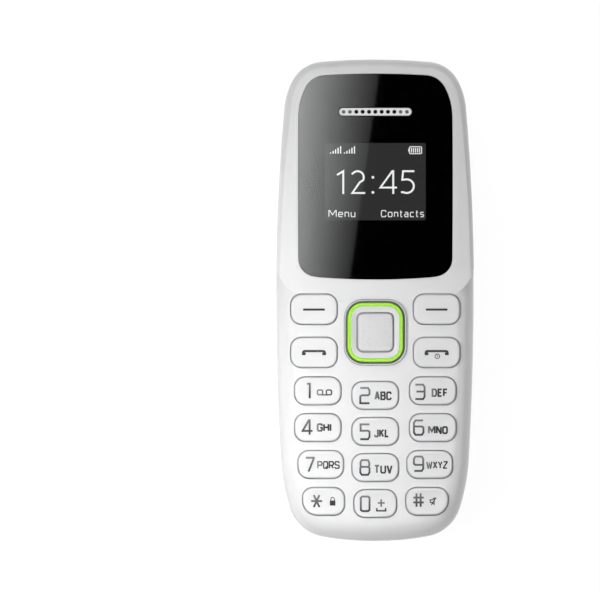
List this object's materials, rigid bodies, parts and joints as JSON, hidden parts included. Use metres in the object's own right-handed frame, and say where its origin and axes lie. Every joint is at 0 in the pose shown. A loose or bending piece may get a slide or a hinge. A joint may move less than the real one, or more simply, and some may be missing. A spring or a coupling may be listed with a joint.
{
  "type": "feature phone",
  "caption": "Small white bar phone with a dark display lens, ringed navigation key, number keys, lift-off rear cover and its inner parts as separate pieces.",
  "frame": {"origin": "middle of the back face, on the surface that the phone lies on", "axes": "+X to the right across the keys, +Y up towards the earpiece, +Z out of the screen"},
  "size_m": [0.0278, 0.0678, 0.0124],
  "materials": {
    "housing_white": "glossy white moulded plastic",
    "cover_pearl": "pearl white plastic with a fine cross-brushed grain",
    "lens_clear": "clear hard-coated acrylic",
    "print_black": "black screen print on the back of the lens",
    "key_white": "glossy translucent white with printed grey legends",
    "trim_chrome": "polished chrome plating",
    "ring_green": "translucent lime green plastic",
    "display_glass": "dark display glass",
    "flex_amber": "amber polyimide film",
    "chassis_grey": "dark grey moulded plastic",
    "board_green": "green solder mask",
    "metal_tin": "tinned spring steel",
    "metal_gold": "gold plated contacts",
    "metal_motor": "drawn steel",
    "metal_tungsten": "sintered tungsten",
    "chip_black": "black epoxy moulding",
    "led_milky": "milky resin",
    "silicone_white": "translucent white silicone",
    "battery_wrap": "dark grey wrap with no print",
    "mesh_grey": "woven dark grey acoustic mesh",
    "speaker_black": "black plastic",
    "cone_film": "pressed plastic film",
    "copper_foil": "copper foil"
  },
  "bodies": {
    "phone": {"front_housing": "housing_white", "mid_chassis": "chassis_grey", "chassis_screws": "metal_motor", "main_board": "board_green", "shield_can": "metal_tin", "processor_chip": "chip_black", "sim_socket_1": "metal_tin", "sim_socket_2": "metal_tin", "memory_card_socket": "metal_tin", "microphone": "metal_tin", "keypad_leds": "led_milky", "usb_socket_shell": "metal_tin", "usb_socket_tongue": "chip_black", "battery_terminals": "metal_gold", "loudspeaker_frame": "speaker_black", "loudspeaker_cone": "cone_film", "motor_can": "metal_motor", "antenna_foil": "copper_foil", "display_lens": "lens_clear", "lens_print": "print_black", "earpiece_grille": "trim_chrome", "earpiece_cloth": "mesh_grey", "earpiece_receiver": "speaker_black", "oled_panel": "display_glass", "display_holder": "silicone_white", "oled_flex": "flex_amber", "nav_trim_ring": "trim_chrome", "key_mat": "silicone_white", "dome_switches": "metal_tin"},
    "rear_cover": {"rear_cover": "cover_pearl", "speaker_bar": "trim_chrome", "speaker_mesh": "mesh_grey"},
    "battery": {"battery_pack": "battery_wrap", "battery_pads": "metal_gold"},
    "motor_rotor": {"motor_shaft": "metal_motor", "motor_weight": "metal_tungsten"},
    "nav_carrier": {"nav_carrier": "silicone_white"},
    "nav_rocker": {"nav_rocker": "key_white", "nav_colour_ring": "ring_green"},
    "ok_key": {"ok_key": "key_white"},
    "soft_key_left": {"soft_key_left": "key_white"},
    "soft_key_right": {"soft_key_right": "key_white"},
    "call_key": {"call_key": "key_white"},
    "end_key": {"end_key": "key_white"},
    "key_1": {"key_1": "key_white"},
    "key_2": {"key_2": "key_white"},
    "key_3": {"key_3": "key_white"},
    "key_4": {"key_4": "key_white"},
    "key_5": {"key_5": "key_white"},
    "key_6": {"key_6": "key_white"},
    "key_7": {"key_7": "key_white"},
    "key_8": {"key_8": "key_white"},
    "key_9": {"key_9": "key_white"},
    "key_star": {"key_star": "key_white"},
    "key_0": {"key_0": "key_white"},
    "key_hash": {"key_hash": "key_white"}
  },
  "joints": [
    {"name": "soft_key_left_press", "type": "slide", "parent": "phone", "child": "soft_key_left", "axis": [0, 0, -1], "range_m": [0, 0.00025], "stiffness_N_per_m": 1500},
    {"name": "soft_key_right_press", "type": "slide", "parent": "phone", "child": "soft_key_right", "axis": [0, 0, -1], "range_m": [0, 0.00025], "stiffness_N_per_m": 1500},
    {"name": "call_key_press", "type": "slide", "parent": "phone", "child": "call_key", "axis": [0, 0, -1], "range_m": [0, 0.00025], "stiffness_N_per_m": 1500},
    {"name": "end_key_press", "type": "slide", "parent": "phone", "child": "end_key", "axis": [0, 0, -1], "range_m": [0, 0.00025], "stiffness_N_per_m": 1500},
    {"name": "key_1_press", "type": "slide", "parent": "phone", "child": "key_1", "axis": [0, 0, -1], "range_m": [0, 0.00025], "stiffness_N_per_m": 1500},
    {"name": "key_2_press", "type": "slide", "parent": "phone", "child": "key_2", "axis": [0, 0, -1], "range_m": [0, 0.00025], "stiffness_N_per_m": 1500},
    {"name": "key_3_press", "type": "slide", "parent": "phone", "child": "key_3", "axis": [0, 0, -1], "range_m": [0, 0.00025], "stiffness_N_per_m": 1500},
    {"name": "key_4_press", "type": "slide", "parent": "phone", "child": "key_4", "axis": [0, 0, -1], "range_m": [0, 0.00025], "stiffness_N_per_m": 1500},
    {"name": "key_5_press", "type": "slide", "parent": "phone", "child": "key_5", "axis": [0, 0, -1], "range_m": [0, 0.00025], "stiffness_N_per_m": 1500},
    {"name": "key_6_press", "type": "slide", "parent": "phone", "child": "key_6", "axis": [0, 0, -1], "range_m": [0, 0.00025], "stiffness_N_per_m": 1500},
    {"name": "key_7_press", "type": "slide", "parent": "phone", "child": "key_7", "axis": [0, 0, -1], "range_m": [0, 0.00025], "stiffness_N_per_m": 1500},
    {"name": "key_8_press", "type": "slide", "parent": "phone", "child": "key_8", "axis": [0, 0, -1], "range_m": [0, 0.00025], "stiffness_N_per_m": 1500},
    {"name": "key_9_press", "type": "slide", "parent": "phone", "child": "key_9", "axis": [0, 0, -1], "range_m": [0, 0.00025], "stiffness_N_per_m": 1500},
    {"name": "key_star_press", "type": "slide", "parent": "phone", "child": "key_star", "axis": [0, 0, -1], "range_m": [0, 0.00025], "stiffness_N_per_m": 1500},
    {"name": "key_0_press", "type": "slide", "parent": "phone", "child": "key_0", "axis": [0, 0, -1], "range_m": [0, 0.00025], "stiffness_N_per_m": 1500},
    {"name": "key_hash_press", "type": "slide", "parent": "phone", "child": "key_hash", "axis": [0, 0, -1], "range_m": [0, 0.00025], "stiffness_N_per_m": 1500},
    {"name": "ok_key_press", "type": "slide", "parent": "phone", "child": "ok_key", "axis": [0, 0, -1], "range_m": [0, 0.00025], "stiffness_N_per_m": 1500},
    {"name": "nav_tilt_up_down", "type": "hinge", "parent": "phone", "child": "nav_carrier", "pos_m": [0, -0.00448, 0.00963], "axis": [1, 0, 0], "range_deg": [-2, 2], "stiffness_Nm_per_rad": 0.02},
    {"name": "nav_tilt_left_right", "type": "hinge", "parent": "nav_carrier", "child": "nav_rocker", "pos_m": [0, -0.00448, 0.00963], "axis": [0, 1, 0], "range_deg": [-2, 2], "stiffness_Nm_per_rad": 0.02},
    {"name": "cover_lift", "type": "slide", "parent": "phone", "child": "rear_cover", "axis": [0, 0, -1], "range_m": [0, 0.02]},
    {"name": "battery_lift", "type": "slide", "parent": "phone", "child": "battery", "axis": [0, 0, -1], "range_m": [0, 0.009]},
    {"name": "motor_spin", "type": "hinge", "parent": "phone", "child": "motor_rotor", "pos_m": [-0.009, 0.014, 0.0039], "axis": [0, 1, 0], "continuous": true}
  ],
  "couplings": [
    {"joint": "battery_lift", "follows": "cover_lift", "ratio": 0.45}
  ]
}
